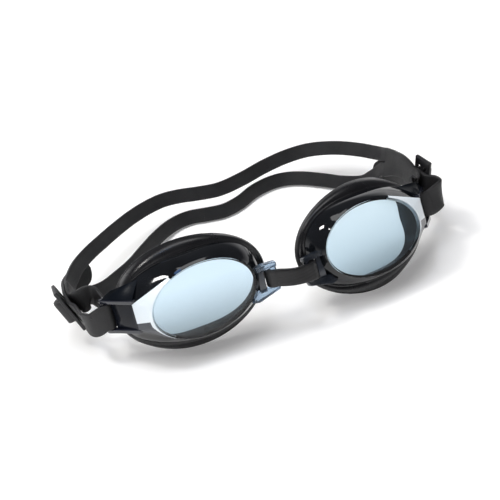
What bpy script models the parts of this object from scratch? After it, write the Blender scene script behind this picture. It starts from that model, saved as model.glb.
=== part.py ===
# Swim goggles: two tinted eye cups with soft gaskets, joined by a rubber nose
# bridge and a slit head strap that loops through a lug on each cup and is
# drawn up by a two-slot buckle.
# Frame: X to the wearer's left, -Y to the front, +Z up, table at z = 0, origin
# under the middle of the whole part.  "right" and "left" are the wearer's sides.
# Lengths below are millimetres, laid out from the point midway between the
# window centres and moved to the origin as each mesh is made.

from math import sin, cos, pi, radians, atan2, acos, hypot

import bmesh
import bpy
from mathutils import Matrix, Vector

MM = 0.001
ORIGIN = Vector((-2.011, 32.478, 0.06))   # middle of the footprint, in the layout used below

# ---------------------------------------------------------------- dimensions
LENS_SPACING = 68.0            # between the two window centres
LENS_A, LENS_B = 19.9, 13.5    # half axes of the flat oval window
LENS_T = 1.8                   # window thickness
WALL = 1.6                     # cup wall thickness

# pose of each cup: centre height, tilt back, wrap round the face, roll
CUP_Z = {"right": 22.9, "left": 22.5}
CUP_TILT = {"right": 20.4, "left": 32.4}
CUP_WRAP = {"right": 3.4, "left": 3.4}
CUP_ROLL = {"right": -5.2, "left": -1.2}
SIDE = {"right": -1, "left": 1}

# cup shoulder: oval break line that runs out to an upright edge at the temple
BREAK_A, BREAK_B, BREAK_W = 20.6, 14.2, -1.0
EDGE_U, EDGE_W = 24.6, -4.0
EDGE_TOP, EDGE_LOW = 6.5, -3.4
# rear rim of the cup, where the gasket starts
SEAM_T, SEAM_N, SEAM_B, SEAM_P = 27.4, 24.2, 15.8, 2.4

# gasket flange: half axes, offset, egg shape, depth behind the window
FL_A, FL_B, FL_U, FL_V = 27.6, 20.0, 0.3, -0.3
FL_EGG = 0.06
FL_D, FL_DU, FL_DUU, FL_DV = 10.5, 3.7, 3.5, 1.5
GASKET_T = 1.7
LIP = 5.2

# temple lug: upright post carried by two plates, under a wing of the shoulder
POST_U, POST_W, POST_R = 31.7, -14.8, 1.2
ARM_T = 1.4
LUG_PLATE = [(23.0, -4.6), (24.5, -3.8), (POST_U + 1.1, POST_W + 0.9), (POST_U + 1.0, POST_W - 1.1),
             (POST_U - 0.6, POST_W - 1.5), (28.9, -11.9), (26.0, -10.6), (25.0, -10.2), (23.8, -7.5)]
SLOT_WALL, SLOT_CLEAR = 0.7, 3.75     # wall thickness, its distance from the post
WING = [(24.4, EDGE_TOP + 1.2, -3.9), (POST_U + 0.5, EDGE_TOP + 1.4, POST_W + 0.7),
        (28.7, 11.2, -11.1), (18.9, 12.3, -8.9)]
WING_T = 0.8
# nasal lug
NOSE_U, NOSE_W, NOSE_R = -27.4, -2.6, 1.15
NOSE_TOP, NOSE_LOW = 0.4, -7.0

# strap
STRAP_W, STRAP_T = 11.0, 1.3
LOOP_W = 9.3                   # narrowed end that goes through lug and buckle
SLIT = 0.3
BAND_W = (STRAP_W - SLIT) / 2
# nose bridge strip
BRIDGE_H, BRIDGE_T = 6.4, 2.0
# buckle plate
BUCKLE_L, BUCKLE_S, BUCKLE_T = 18.0, 7.7, 1.4
SLOT_L, SLOT_S = 12.2, 1.9
GAP = 0.3

N_RING = 56

# ---------------------------------------------------------------- scene setup
for old in list(bpy.data.objects):
    bpy.data.objects.remove(old, do_unlink=True)


def collection(name):
    c = bpy.data.collections.new(name)
    bpy.context.scene.collection.children.link(c)
    return c


PARTS = collection("swim_goggles")
CUTTERS = collection("swim_goggles_cutters")


def material(name, rgb, roughness, metallic=0.0, alpha=1.0):
    m = bpy.data.materials.new(name)
    m.use_nodes = True
    b = m.node_tree.nodes["Principled BSDF"]
    b.inputs["Base Color"].default_value = (*rgb, 1.0)
    b.inputs["Roughness"].default_value = roughness
    b.inputs["Metallic"].default_value = metallic
    b.inputs["Alpha"].default_value = alpha
    return m


M_LENS = material("tinted_polycarbonate", (0.42, 0.55, 0.64), 0.05, alpha=0.55)
M_GASKET = material("black_gasket_rubber", (0.016, 0.016, 0.018), 0.32)
M_STRAP = material("black_strap_rubber", (0.025, 0.024, 0.026), 0.6)
M_BRIDGE = material("black_bridge_rubber", (0.028, 0.027, 0.028), 0.5)
M_BUCKLE = material("black_buckle_plastic", (0.02, 0.02, 0.022), 0.38)


# ---------------------------------------------------------------- helpers
def add_object(name, mesh, mat, parent, coll=None):
    ob = bpy.data.objects.new(name, mesh)
    (coll or PARTS).objects.link(ob)
    if mat:
        mesh.materials.append(mat)
    if parent:
        mesh.transform(parent.matrix_world.inverted())
        ob.parent = parent
    mesh.shade_smooth()
    mesh.set_sharp_from_angle(angle=radians(35))
    return ob


def loft(name, rings, closed=False):
    """Skin a list of equal rings (world millimetres) as one closed body."""
    bm = bmesh.new()
    vs = [[bm.verts.new((Vector(p) - ORIGIN) * MM) for p in ring] for ring in rings]
    n = len(vs[0])
    pairs = list(zip(vs, vs[1:])) + ([(vs[-1], vs[0])] if closed else [])
    for a, b in pairs:
        for i in range(n):
            j = (i + 1) % n
            bm.faces.new((a[i], a[j], b[j], b[i]))
    if not closed:
        bm.faces.new(vs[0])
        bm.faces.new(vs[-1])
    bmesh.ops.recalc_face_normals(bm, faces=bm.faces)
    bmesh.ops.triangulate(bm, faces=[f for f in bm.faces if len(f.verts) == 4])
    me = bpy.data.meshes.new(name)
    bm.to_mesh(me)
    bm.free()
    return me


def union(ob, cutter):
    cutter.hide_render = True
    cutter.display_type = 'WIRE'
    mod = ob.modifiers.new("join_" + cutter.name, 'BOOLEAN')
    mod.operation = 'UNION'
    mod.solver = 'EXACT'
    mod.object = cutter


def cut(ob, cutter):
    union(ob, cutter)
    ob.modifiers[-1].operation = 'DIFFERENCE'


def box_mesh(name, centre, ax, ay, az, sx, sy, sz):
    """Box of full sizes sx, sy, sz along three axes, in world millimetres."""
    bm = bmesh.new()
    rot = Matrix((ax, ay, az)).transposed().to_4x4()
    m = Matrix.Translation((Vector(centre) - ORIGIN) * MM) @ rot @ Matrix.Diagonal((sx * MM, sy * MM, sz * MM, 1.0))
    bmesh.ops.create_cube(bm, size=1.0, matrix=m)
    me = bpy.data.meshes.new(name)
    bm.to_mesh(me)
    bm.free()
    return me


def rod_mesh(name, a, b, r, seg=16):
    bm = bmesh.new()
    a, b = Vector(a), Vector(b)
    d = b - a
    m = Matrix.Translation(((a + b) * 0.5 - ORIGIN) * MM) @ d.to_track_quat('Z', 'Y').to_matrix().to_4x4()
    bmesh.ops.create_cone(bm, cap_ends=True, segments=seg, radius1=r * MM, radius2=r * MM,
                          depth=d.length * MM, matrix=m)
    me = bpy.data.meshes.new(name)
    bm.to_mesh(me)
    bm.free()
    return me


def catmull(pts, per=6):
    """Smooth centripetal run through the route's own points."""
    pts = [Vector(p) for p in pts]
    ext = [2 * pts[0] - pts[1]] + pts + [2 * pts[-1] - pts[-2]]
    out = []
    for i in range(1, len(ext) - 2):
        p0, p1, p2, p3 = ext[i - 1:i + 3]
        t0 = 0.0
        t1 = t0 + (p1 - p0).length ** 0.5
        t2 = t1 + (p2 - p1).length ** 0.5
        t3 = t2 + (p3 - p2).length ** 0.5
        for k in range(per):
            t = t1 + (t2 - t1) * k / per
            a1 = p0 * ((t1 - t) / (t1 - t0)) + p1 * ((t - t0) / (t1 - t0))
            a2 = p1 * ((t2 - t) / (t2 - t1)) + p2 * ((t - t1) / (t2 - t1))
            a3 = p2 * ((t3 - t) / (t3 - t2)) + p3 * ((t - t2) / (t3 - t2))
            b1 = a1 * ((t2 - t) / (t2 - t0)) + a2 * ((t - t0) / (t2 - t0))
            b2 = a2 * ((t3 - t) / (t3 - t1)) + a3 * ((t - t1) / (t3 - t1))
            out.append(b1 * ((t2 - t) / (t2 - t1)) + b2 * ((t - t1) / (t2 - t1)))
    out.append(pts[-1])
    return out


def tangents(path):
    out = []
    for i in range(len(path)):
        a, b = path[max(i - 1, 0)], path[min(i + 1, len(path) - 1)]
        out.append((b - a).normalized())
    return out


def ribbon(name, path, wide, width, thick):
    """Flat strip along a path; wide holds the across-the-strip direction."""
    tan = tangents(path)
    rings = []
    for k, (p, t, w) in enumerate(zip(path, tan, wide)):
        w = (w - t * w.dot(t)).normalized()
        n = t.cross(w)
        hw = (width[k] if isinstance(width, list) else width) / 2
        ht = (thick[k] if isinstance(thick, list) else thick) / 2
        c = min(0.25, ht * 0.4)
        rings.append([p + w * a + n * b for a, b in
                      ((hw, ht - c), (hw - c, ht), (-hw + c, ht), (-hw, ht - c),
                       (-hw, -ht + c), (-hw + c, -ht), (hw - c, -ht), (hw, -ht + c))])
    return loft(name, rings)


def mix(values, f):
    """Linear run through a list of vectors, f from 0 to 1."""
    x = f * (len(values) - 1)
    i = min(int(x), len(values) - 2)
    return Vector(values[i]).lerp(Vector(values[i + 1]), x - i)


# ---------------------------------------------------------------- cup frames
class Cup:
    def __init__(self, side):
        s = SIDE[side]
        w, t, r = (radians(d[side]) for d in (CUP_WRAP, CUP_TILT, CUP_ROLL))
        n = Vector((sin(w) * cos(t), -cos(w) * cos(t), sin(t)))
        h = Vector((cos(w), sin(w), 0.0))
        v = h.cross(n)
        if v.z < 0:
            v.negate()
        u, v = h * cos(r) + v * sin(r), v * cos(r) - h * sin(r)
        for a in (u, v, n):
            a.x *= s
        self.side, self.s = side, s
        self.u, self.v, self.n = u, v, n      # temple-ward, up, forward
        self.o = Vector((s * LENS_SPACING / 2, 0.0, CUP_Z[side]))

    def at(self, u, v, w):
        return self.o + self.u * u + self.v * v + self.n * w


CUP = {k: Cup(k) for k in SIDE}


# ---------------------------------------------------------------- cup outlines
def tangent_param(px, py, a, b, sign):
    """Ellipse parameter where the tangent through (px, py) touches."""
    return atan2(py / b, px / a) + sign * acos(1 / hypot(px / a, py / b))


T_TOP = tangent_param(EDGE_U, EDGE_TOP, BREAK_A, BREAK_B, 1)
T_LOW = tangent_param(EDGE_U, EDGE_LOW, BREAK_A, BREAK_B, -1)


def outline():
    """(lens parameter, break-line point) all round, temple upper corner first."""
    rows = []
    n_arc, n_line, n_edge = N_RING - 16, 6, 4
    tp = (BREAK_A * cos(T_TOP), BREAK_B * sin(T_TOP), BREAK_W)
    lp = (BREAK_A * cos(T_LOW), BREAK_B * sin(T_LOW), BREAK_W)
    top, low = (EDGE_U, EDGE_TOP, EDGE_W), (EDGE_U, EDGE_LOW, EDGE_W)
    t_top, t_low = atan2(EDGE_TOP / BREAK_B, EDGE_U / BREAK_A), atan2(EDGE_LOW / BREAK_B, EDGE_U / BREAK_A)
    for k in range(n_line):
        f = k / n_line
        rows.append((t_top + (T_TOP - t_top) * f, tuple(a + (b - a) * f for a, b in zip(top, tp))))
    span = 2 * pi + T_LOW - T_TOP
    for k in range(n_arc):
        t = T_TOP + span * k / n_arc
        rows.append((t, (BREAK_A * cos(t), BREAK_B * sin(t), BREAK_W)))
    for k in range(n_line):
        f = k / n_line
        rows.append((T_LOW + 2 * pi + (t_low - T_LOW) * f, tuple(a + (b - a) * f for a, b in zip(lp, low))))
    for k in range(n_edge):
        f = k / n_edge
        rows.append((t_low + 2 * pi + (t_top - t_low) * f, tuple(a + (b - a) * f for a, b in zip(low, top))))
    return rows


def seam_radius(theta):
    c, s = cos(theta), sin(theta)
    a = SEAM_T if c > 0 else SEAM_N
    return (abs(c / a) ** SEAM_P + abs(s / SEAM_B) ** SEAM_P) ** (-1 / SEAM_P)


def seam_depth(u):
    q = u / 30
    return -(7.5 + 2.2 * q + 2.6 * q * q)


def flange(t):
    u = FL_U + FL_A * cos(t)
    v = FL_V + FL_B * sin(t) * (1 + FL_EGG * cos(t))
    return u, v, -(FL_D + FL_DU * u / 30 + FL_DUU * (u / 30) ** 2 + FL_DV * v / 20)


# ---------------------------------------------------------------- parent empties
def empty(name, origin, x, y, z):
    e = bpy.data.objects.new(name, None)
    e.empty_display_size = 0.005
    m = Matrix((x, y, z)).transposed().to_4x4()
    m.translation = (Vector(origin) - ORIGIN) * MM
    e.matrix_world = m
    CUTTERS.objects.link(e)
    return e


def cup_empty(c):
    """On the nasal post, the axis the cup swings about."""
    return empty(c.side + "_cup_axis", c.at(NOSE_U, (NOSE_TOP + NOSE_LOW) / 2, NOSE_W), c.u * c.s, c.v, c.n)


# ---------------------------------------------------------------- eye cup
def lens_cup(c, parent):
    rows = outline()

    def ring(fn):
        return [c.at(*fn(t, p)) for t, p in rows]

    def seam(p, inset):
        th = atan2(p[1], p[0])
        r = seam_radius(th)
        u, v = r * cos(th), r * sin(th)
        k = 1 - inset / r
        return u * k, v * k, seam_depth(u)

    def inside(p):
        k = 1 - (WALL + 0.2) / hypot(p[0], p[1])
        return p[0] * k, p[1] * k, p[2] - LENS_T

    rings = [
        ring(lambda t, p: ((LENS_A - 2.2) * cos(t), (LENS_B - 2.2) * sin(t), -LENS_T)),
        ring(lambda t, p: inside(p)),
        ring(lambda t, p: seam(p, WALL)),
        ring(lambda t, p: seam(p, 0.0)),
        ring(lambda t, p: p),
        ring(lambda t, p: (LENS_A * cos(t), LENS_B * sin(t), 0.0)),
    ]
    ob = add_object(c.side + "_lens_cup", loft(c.side + "_lens_cup", rings), M_LENS, parent)

    def joined(name, mesh):
        union(ob, add_object(c.side + name, mesh, None, parent, CUTTERS))

    def prism(name, points, low, high, at):
        joined(name, loft(name, [[at(x, y, h) for x, y in points] for h in (low, high)]))

    # temple lug: two plates leave the shoulder, run outward and back and carry
    # the post; a wall stands on the inner side of the slot between them
    d = Vector((POST_U - EDGE_U, POST_W - EDGE_W))
    reach = d.length
    d.normalize()

    def flat(u, w, v):
        return c.at(u, v, w)

    def beside(s, v, h):
        return c.at(EDGE_U - 0.1 + d.x * s + d.y * h, v, EDGE_W + d.y * s - d.x * h)

    def upright(u, v, w):
        return c.at(u, v, w)

    prism("_arm_top", LUG_PLATE, EDGE_TOP, EDGE_TOP + ARM_T, flat)
    prism("_arm_low", LUG_PLATE, EDGE_LOW - ARM_T, EDGE_LOW, flat)
    stop = reach - SLOT_CLEAR
    prism("_slot_wall", [(-0.1, EDGE_LOW - 0.5), (stop, EDGE_LOW - 0.5), (stop, EDGE_TOP + 0.5), (-0.1, EDGE_TOP + 0.5)],
          0.0, SLOT_WALL, beside)
    joined("_post", rod_mesh("_post", c.at(POST_U, EDGE_LOW - ARM_T * 0.7, POST_W),
                             c.at(POST_U, EDGE_TOP + ARM_T * 0.7, POST_W), POST_R))
    # wing that carries the shoulder out over the upper plate
    p1, p2, p3, p4 = (Vector(q) for q in WING)
    under = (p2 - p1).cross(p4 - p1).normalized() * WING_T
    if under.z > 0:
        under.negate()
    rings = []
    for k in range(4):
        a, b = p1.lerp(p2, k / 3), p4.lerp(p3, k / 3)
        rings.append([c.at(*q) for q in (a, b, b + under, a + under)])
    joined("_wing", loft("_wing", rings))
    # nasal lug: a frame round the slot for the bridge, with a web down the shoulder
    end = NOSE_U - 1.3
    prism("_nose_arm_top", [(-20.6, 2.4), (-24.2, 2.5), (end, NOSE_TOP + 1.5), (end, NOSE_TOP), (-20.6, NOSE_TOP)],
          NOSE_W - 1.5, NOSE_W + 1.2, upright)
    prism("_nose_arm_low", [(-19.5, NOSE_LOW), (end, NOSE_LOW), (end + 0.4, NOSE_LOW - 1.5), (-19.6, -10.6), (-17.0, -10.0)],
          NOSE_W - 1.9, NOSE_W + 1.0, upright)
    prism("_nose_web", [(-20.9, NOSE_TOP + 0.8), (-23.3, NOSE_TOP + 0.8), (-23.3, NOSE_LOW - 0.8), (-20.9, NOSE_LOW - 0.8)],
          NOSE_W - 2.4, NOSE_W + 0.2, upright)
    joined("_nose_post", rod_mesh("_nose_post", c.at(NOSE_U, NOSE_LOW - 1.2, NOSE_W),
                                  c.at(NOSE_U, NOSE_TOP + 1.2, NOSE_W), NOSE_R))
    return ob


# ---------------------------------------------------------------- gasket
def gasket(c, parent):
    profile_rings = [[] for _ in range(9)]
    for k in range(N_RING):
        t = 2 * pi * k / N_RING
        fu, fv, fw = flange(t)
        th, rf = atan2(fv, fu), hypot(fu, fv)
        rs = seam_radius(th)
        ws = seam_depth(rs * cos(th)) - GAP
        dw = ws - fw
        dr = rf - rs
        lip = LIP * max(0.0, cos(th)) ** 9     # the inner lip is broad at the temple
        section = [
            (rs - WALL - 0.2, ws),
            (rs + 0.4, ws),
            (rs + 0.55 * dr + 0.7, ws - 0.35 * dw),
            (rf - 0.2, fw + 0.5),
            (rf, fw),
            (rf - 0.9, fw - 0.7),
            (rs + 0.45 * dr - 0.3, ws - 0.35 * dw - GASKET_T),
            (rs - WALL - 0.2 - lip, ws - 2.7),
            (rs - WALL - 0.2 - lip, ws - 2.0),
        ]
        for ring, (r, w) in zip(profile_rings, section):
            ring.append(c.at(r * cos(th), r * sin(th), w))
    return add_object(c.side + "_gasket", loft(c.side + "_gasket", profile_rings, closed=True), M_GASKET, parent)


# ---------------------------------------------------------------- strap ends
# Centre of the doubled strap under each buckle, the direction it runs back in,
# the direction across it, and the routes of its legs: behind the buckle, from
# the buckle in to the lug, from the lug round to the buckle, and the free tail.
BUCKLE_AT = {"right": Vector((-71.3, 27.0, 15.6)), "left": Vector((68.5, 24.9, 17.4))}
BUCKLE_DIR = {"right": Vector((0.25, 0.90, -0.28)), "left": Vector((-0.17, 0.98, -0.06))}
BUCKLE_UP = {"right": Vector((-0.43, 0.375, 0.835)), "left": Vector((0.05, 0.10, 0.99))}
LAYER = STRAP_T / 2 + 0.2          # each layer's offset from the middle
BEHIND = {"right": [(-68.6, 32.8, 14.2)],
          "left": [(66.0, 42.5, 15.4), (66.4, 37.0, 18.4), (66.8, 31.0, 20.2)]}
BEHIND_UP = {"right": (-0.40, 0.40, 0.83), "left": (0.40, 0.10, 0.91)}
RISE = {"right": 0.0, "left": 1.6}     # the strap rides higher behind the buckle
DROP = {"right": 1.2, "left": 0.0}     # and lower where it comes round from the lug
REAR_LEG = {"right": [(-67.9, 24.8, 18.0), (-65.2, 24.3, 17.7), (-63.7, 21.9, 16.8)],
            "left": [(65.6, 22.9, 17.4), (64.4, 20.9, 16.2)]}
FRONT_LEG = {"right": [(-70.2, 13.9, 15.4), (-71.7, 16.9, 15.4), (-72.0, 20.4, 16.0)],
             "left": [(70.4, 13.7, 17.9), (72.6, 15.6, 18.0), (72.2, 18.6, 17.9)]}
TAIL = {"right": [(-70.3, 32.7, 13.5), (-68.1, 37.9, 12.0), (-62.7, 43.0, 11.2), (-56.5, 47.6, 10.9)],
        "left": [(68.3, 31.6, 16.2), (68.5, 38.0, 12.4), (67.8, 44.5, 8.6), (65.9, 50.2, 5.9)]}


def buckle_frame(side):
    t = BUCKLE_DIR[side].normalized()
    w = BUCKLE_UP[side]
    w = (w - t * w.dot(t)).normalized()
    out = w.cross(t)
    if out.x * SIDE[side] < 0:
        out.negate()
    return t, w, out


def strap_end(c, parent):
    side = c.side
    t, w, out = buckle_frame(side)
    m = BUCKLE_AT[side]
    mid_v = (EDGE_TOP + EDGE_LOW) / 2
    post = c.at(POST_U, mid_v, POST_W)
    inner = m - out * LAYER
    outer = m + out * LAYER
    # route points, each with the across-the-strap direction there
    route = [(Vector(p), Vector(BEHIND_UP[side]).lerp(w, (0.0, 0.4, 0.9)[k]))
             for k, p in enumerate(BEHIND[side])]
    lift = w * RISE[side]
    route += [(inner + t * 2.6 + lift, w), (inner - t * 0.2 + lift * 0.6, w), (inner - t * 1.5 - out * 1.0, w)]
    n = len(REAR_LEG[side])
    route += [(Vector(p), w.lerp(c.v, 0.6 * (k + 1) / n)) for k, p in enumerate(REAR_LEG[side])]
    route.append((c.at(POST_U - 1.7, mid_v + 0.3, POST_W - 3.2), c.v.lerp(w, 0.15)))
    # round the post from its rear, through the slot, to its front
    r = POST_R + GAP + STRAP_T / 2 + 0.3
    for k in range(5):
        a = radians(205 - 125 * k / 4)
        route.append((post + c.u * (r * cos(a)) + c.n * (r * sin(a)), c.v))
    route.append((c.at(POST_U + 1.9, mid_v, POST_W + 2.3), c.v))
    n = len(FRONT_LEG[side])
    route += [(Vector(p), c.v.lerp(w, (k + 0.6) / n)) for k, p in enumerate(FRONT_LEG[side])]
    drop = w * DROP[side]
    route += [(outer - t * 3.8 - out * 0.2 - drop, w), (outer - drop * 0.5, w), (outer + t * 3.6, w)]
    route += [(Vector(p), w) for p in TAIL[side]]
    path = catmull([p for p, _ in route], 4)
    ups = [u for _, u in route]
    wide = [mix(ups, i / (len(path) - 1)) for i in range(len(path))]
    # full width at the slit, narrower through the loop, rounded free end
    widths = []
    run = 0.0
    for i in range(len(path)):
        run += (path[i] - path[i - 1]).length if i else 0.0
        widths.append(STRAP_W + (LOOP_W - STRAP_W) * min(run / 7.0, 1.0))
    total = 0.0
    for i in range(len(path) - 1, 0, -1):
        if total < LOOP_W / 2:
            f = 1 - total / (LOOP_W / 2)
            widths[i] = max(LOOP_W * (1 - f * f) ** 0.5, LOOP_W * 0.35)
        total += (path[i] - path[i - 1]).length
    mesh = ribbon(side + "_strap_end", path, wide, widths, STRAP_T)
    ob = add_object(side + "_strap_end", mesh, M_STRAP, parent)
    tan = tangents(path)
    w0 = wide[0] - tan[0] * wide[0].dot(tan[0])
    return ob, path[0], -tan[0], w0.normalized()


# ---------------------------------------------------------------- buckle
def buckle(c, parent):
    side = c.side
    t, w, out = buckle_frame(side)
    base = LAYER + STRAP_T / 2 + GAP
    centre = BUCKLE_AT[side] + out * (base + BUCKLE_T / 2)
    e = empty(side + "_buckle_slide", centre, t, w, t.cross(w))
    ob = add_object(side + "_buckle", box_mesh(side + "_buckle", centre, t, w, t.cross(w),
                                               BUCKLE_S, BUCKLE_L, BUCKLE_T), M_BUCKLE, e)
    bev = ob.modifiers.new("round_corners", 'BEVEL')
    bev.width = 0.0004
    bev.segments = 2
    bev.limit_method = 'ANGLE'
    for name, d in (("_slot_front", -1), ("_slot_back", 1)):
        cutter = add_object(side + name, box_mesh(name, centre + t * d * 1.85, t, w, t.cross(w),
                                                  SLOT_S, SLOT_L, BUCKLE_T + 2), None, e, CUTTERS)
        cut(ob, cutter)
    # the stretch of strap that rides over the buckle's middle bar
    lift = BUCKLE_T / 2 + GAP + 1.1
    arch = [(-2.0, -BUCKLE_T / 2 + 0.1), (-1.95, 0.35), (-1.1, lift), (0.0, lift + 0.1), (1.1, lift), (1.95, 0.35),
            (2.0, -BUCKLE_T / 2 + 0.1)]
    path = catmull([centre + t * a + out * b for a, b in arch], 3)
    last = len(path) - 1
    thick = [1.0 + 1.2 * min(max((min(k, last - k) - 2) / 5, 0), 1) for k in range(last + 1)]
    fold = ribbon(side + "_strap_fold", path, [w] * len(path), LOOP_W - 0.2, thick)
    add_object(side + "_strap_fold", fold, M_STRAP, e)
    return ob


# ---------------------------------------------------------------- rear bands
UPPER = [(-62.9, 43.2, 15.8), (-54.8, 49.8, 14.7), (-47.5, 54.4, 13.8), (-40.0, 59.0, 12.8), (-31.2, 63.7, 11.8),
         (-22.8, 67.0, 11.0), (-15.7, 68.4, 10.6), (-9.0, 68.0, 10.2), (-3.1, 66.7, 9.9), (6.0, 65.4, 9.4),
         (17.2, 67.4, 8.7), (28.4, 69.9, 8.8), (38.3, 70.1, 9.8), (47.0, 68.2, 11.0), (56.0, 63.4, 11.9),
         (63.0, 56.6, 12.9), (66.8, 51.6, 13.5)]
LOWER = [(-63.2, 34.0, 10.8), (-55.9, 36.2, 8.8), (-47.6, 41.0, 7.0), (-40.2, 45.4, 6.0), (-31.5, 52.2, 4.5),
         (-24.0, 57.6, 3.5), (-17.6, 61.2, 2.9), (-12.2, 63.0, 2.6), (-7.0, 63.3, 2.5), (-0.2, 61.7, 2.5),
         (5.8, 60.7, 2.5), (13.2, 62.0, 2.5), (21.8, 65.5, 2.5), (30.0, 66.8, 2.5), (35.7, 66.1, 2.5),
         (41.1, 63.6, 2.6), (47.4, 58.8, 2.7), (53.8, 52.8, 3.1), (60.0, 47.8, 4.6), (62.8, 46.0, 7.4)]
LEAN = {"upper": (44, 36, 38), "lower": (42, 34, 38)}


def band(name, which, route, ends):
    (pr, tr, wr), (pl, tl, wl) = ends
    shift = (BAND_W + SLIT) / 2 * (1 if which == "upper" else -1)
    a = pr + wr * shift + tr * GAP
    b = pl + wl * shift + tl * GAP
    pts = [a, a + tr * 2.0] + [Vector(p) for p in route] + [b + tl * 2.0, b]
    path = catmull(pts, 3)
    tan = tangents(path)
    wide = []
    n = len(path) - 1
    l0, l1, l2 = LEAN[which]
    for i, t in enumerate(tan):
        f = i / n
        lean = radians(l0 + (l1 - l0) * min(f * 2, 1) + (l2 - l1) * max(f * 2 - 1, 0))
        o = Vector((-t.y, t.x, 0.0)).normalized()
        if o.dot(path[i] - Vector((0.0, 30.0, path[i].z))) < 0:
            o.negate()
        w = Vector((0, 0, 1)) * cos(lean) + o * sin(lean)
        k = min(f / 0.12, (1 - f) / 0.12, 1.0)
        k = k * k * (3 - 2 * k)
        wide.append((wr if f < 0.5 else wl).lerp(w, k))
    return add_object(name, ribbon(name, path, wide, BAND_W, STRAP_T), M_STRAP, None)


# ---------------------------------------------------------------- nose bridge
def bridge():
    cr, cl = CUP["right"], CUP["left"]
    mid_v = (NOSE_TOP + NOSE_LOW) / 2
    r = NOSE_R + GAP + BRIDGE_T / 2

    def hook(c):
        """From behind the post, through the slot, to its front."""
        p = c.at(NOSE_U, mid_v, NOSE_W)
        out = []
        for k in range(9):
            a = radians(-75 + 165 * k / 8)
            out.append(p + c.u * (r * cos(a)) + c.n * (r * sin(a)))
        return out

    right, left = hook(cr), hook(cl)[::-1]
    span = (right[-1] + left[0]) / 2 + (cr.n + cl.n).normalized() * 0.9 - Vector((0, 0, 0.5))
    route = right + [right[-1].lerp(span, 0.5) + cr.n * 0.35, span, span.lerp(left[0], 0.5) + cl.n * 0.35] + left
    path = catmull(route, 2)
    n = len(path) - 1
    wide = []
    thick = []
    for i in range(n + 1):
        f = i / n
        k = min(max((f - 0.4) / 0.2, 0), 1)
        wide.append(cr.v.lerp(cl.v, k * k * (3 - 2 * k)).normalized())
        end = min(f, 1 - f) * n
        thick.append(BRIDGE_T + (0.2 * (1 - end / 3) if end < 3 else 0.0))
    return add_object("nose_bridge", ribbon("nose_bridge", path, wide, BRIDGE_H, thick), M_BRIDGE, None)


# ---------------------------------------------------------------- assembly
ends = []
for key in ("right", "left"):
    cup = CUP[key]
    axis = cup_empty(cup)
    lens_cup(cup, axis)
    gasket(cup, axis)
    _, p0, t0, w0 = strap_end(cup, axis)
    ends.append((p0, t0, w0))
    buckle(cup, axis)
band("upper_band", "upper", UPPER, ends)
band("lower_band", "lower", LOWER, ends)
bridge()
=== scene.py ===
from math import sin, cos, pi, radians, atan2, acos, hypot

import bmesh
import bpy
from mathutils import Matrix, Vector


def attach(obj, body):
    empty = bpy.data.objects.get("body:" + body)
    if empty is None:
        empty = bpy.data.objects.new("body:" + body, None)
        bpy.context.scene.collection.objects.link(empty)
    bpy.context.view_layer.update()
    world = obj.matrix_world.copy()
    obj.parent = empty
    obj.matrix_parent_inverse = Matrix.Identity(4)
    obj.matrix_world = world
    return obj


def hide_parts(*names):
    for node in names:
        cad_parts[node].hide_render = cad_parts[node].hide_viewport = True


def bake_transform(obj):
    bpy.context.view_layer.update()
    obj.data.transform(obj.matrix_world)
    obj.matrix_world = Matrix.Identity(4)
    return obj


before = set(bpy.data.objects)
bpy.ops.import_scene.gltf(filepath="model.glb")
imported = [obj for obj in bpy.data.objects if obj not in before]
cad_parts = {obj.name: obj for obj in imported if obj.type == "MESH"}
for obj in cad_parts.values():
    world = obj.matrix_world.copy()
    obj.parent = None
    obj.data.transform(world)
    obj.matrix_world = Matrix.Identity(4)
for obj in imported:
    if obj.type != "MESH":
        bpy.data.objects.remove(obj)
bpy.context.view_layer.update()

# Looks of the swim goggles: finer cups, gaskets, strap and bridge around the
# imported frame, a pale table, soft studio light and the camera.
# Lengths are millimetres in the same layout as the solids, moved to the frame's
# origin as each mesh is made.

MM = 0.001
ORIGIN = Vector((-2.011, 32.478, 0.06))

ROOT = "bridge_and_bands"

# ---------------------------------------------------------------- dimensions
LENS_SPACING = 68.0
LENS_A, LENS_B = 19.9, 13.5
LENS_T = 1.8
WALL = 1.6
SKIN = 0.95                    # clear skin over the gasket's inner lip
CUP_Z = {"right": 22.9, "left": 22.5}
CUP_TILT = {"right": 20.4, "left": 32.4}
CUP_WRAP = {"right": 3.4, "left": 3.4}
CUP_ROLL = {"right": -5.2, "left": -1.2}
SIDE = {"right": -1, "left": 1}
BREAK_A, BREAK_B, BREAK_W = 20.6, 14.2, -1.0
EDGE_U, EDGE_W = 24.6, -4.0
EDGE_TOP, EDGE_LOW = 6.5, -3.4
SEAM_T, SEAM_N, SEAM_B, SEAM_P = 27.4, 24.2, 15.8, 2.4
FL_A, FL_B, FL_U, FL_V = 27.6, 20.0, 0.3, -0.3
FL_EGG = 0.06
FL_D, FL_DU, FL_DUU, FL_DV = 10.5, 3.7, 3.5, 1.5
GASKET_T = 1.7
POST_U, POST_W, POST_R = 31.7, -14.8, 1.2
ARM_T, ARM_WIDTH = 1.4, 2.6
NOSE_U, NOSE_W, NOSE_R = -27.4, -2.6, 1.15
NOSE_TOP, NOSE_LOW = 0.4, -7.0
STRAP_W, STRAP_T = 11.0, 1.3
LOOP_W = 9.3
SLIT = 0.3
BAND_W = (STRAP_W - SLIT) / 2
BRIDGE_H, BRIDGE_T = 6.4, 2.0
BUCKLE_T = 1.4
GAP = 0.3
LAYER = STRAP_T / 2 + 0.2

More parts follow.
